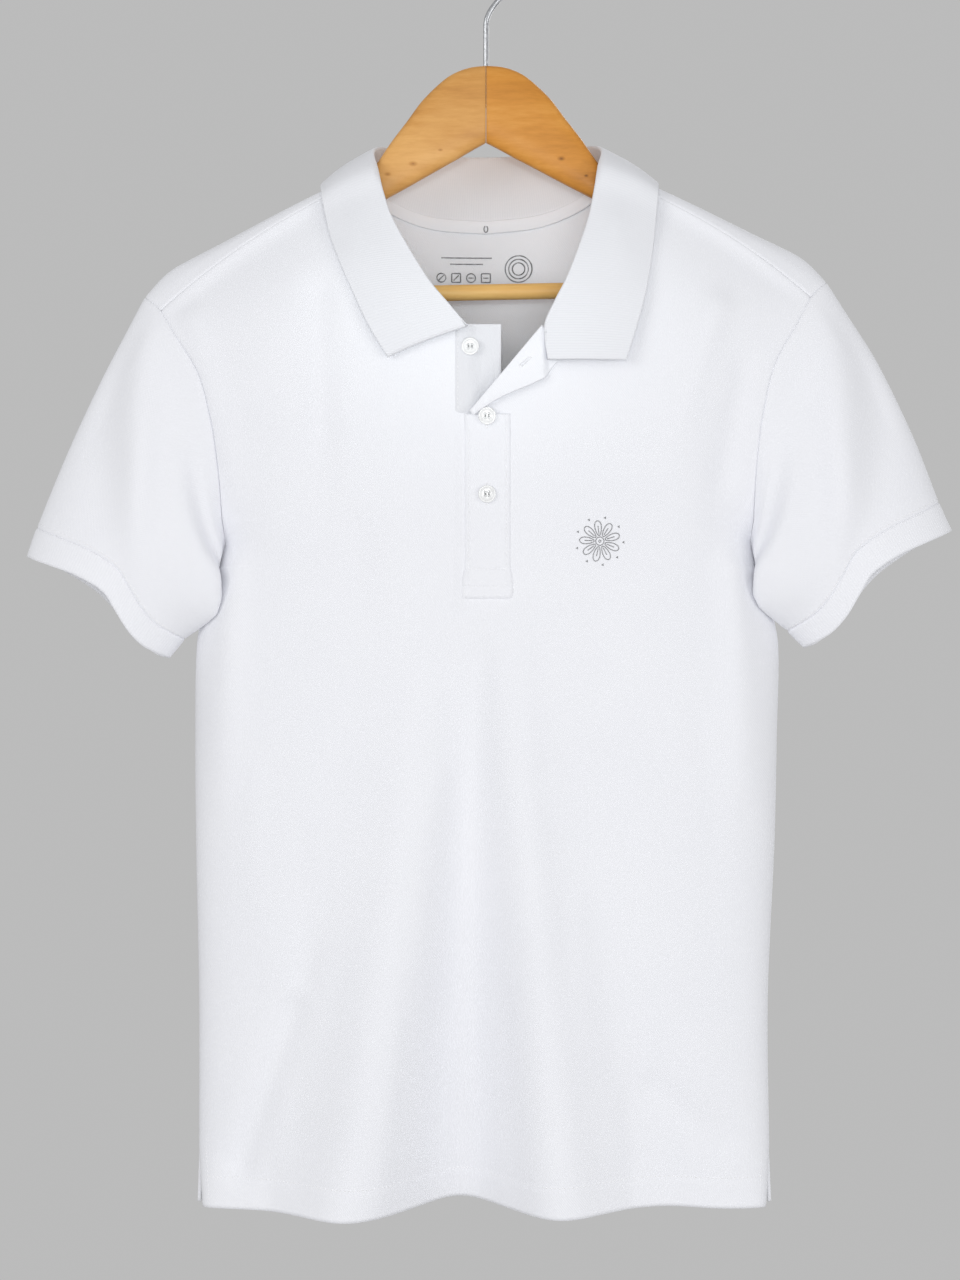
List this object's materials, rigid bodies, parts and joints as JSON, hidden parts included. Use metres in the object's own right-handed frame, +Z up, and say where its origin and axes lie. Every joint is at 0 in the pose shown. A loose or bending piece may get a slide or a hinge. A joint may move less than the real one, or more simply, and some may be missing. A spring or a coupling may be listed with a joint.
{
  "type": "polo shirt on hanger",
  "caption": "White short-sleeved polo shirt with open placket and ribbed collar and cuffs, hung on a wooden hanger with a steel hook.",
  "frame": {"origin": "inner top of the hook, where a rail touches it", "axes": "+Z up along the hanging shirt, the shirt's front faces -Y, +X to the right as seen from the front"},
  "size_m": [0.6104, 0.1178, 0.848],
  "materials": {
    "pique": "white cotton pique knit",
    "rib": "white flat-knit rib",
    "tape": "white woven tape",
    "button": "white polished",
    "beech": "clear varnished",
    "bar_wood": "clear varnished",
    "hook_steel": "polished steel"
  },
  "bodies": {
    "root": {"front_panel": "pique", "back_panel": "pique", "sleeve_left": "pique", "sleeve_right": "pique", "cuff_left": "rib", "cuff_right": "rib", "collar": "rib", "placket_overlap": "pique", "placket_lapel": "pique", "placket_underlap": "pique", "neck_tape": "tape", "button_top": "button", "button_middle": "button", "button_low": "button", "hanger_arm_left": "beech", "hanger_arm_right": "beech", "hanger_bar": "bar_wood", "hanger_hook": "hook_steel"}
  },
  "joints": []
}
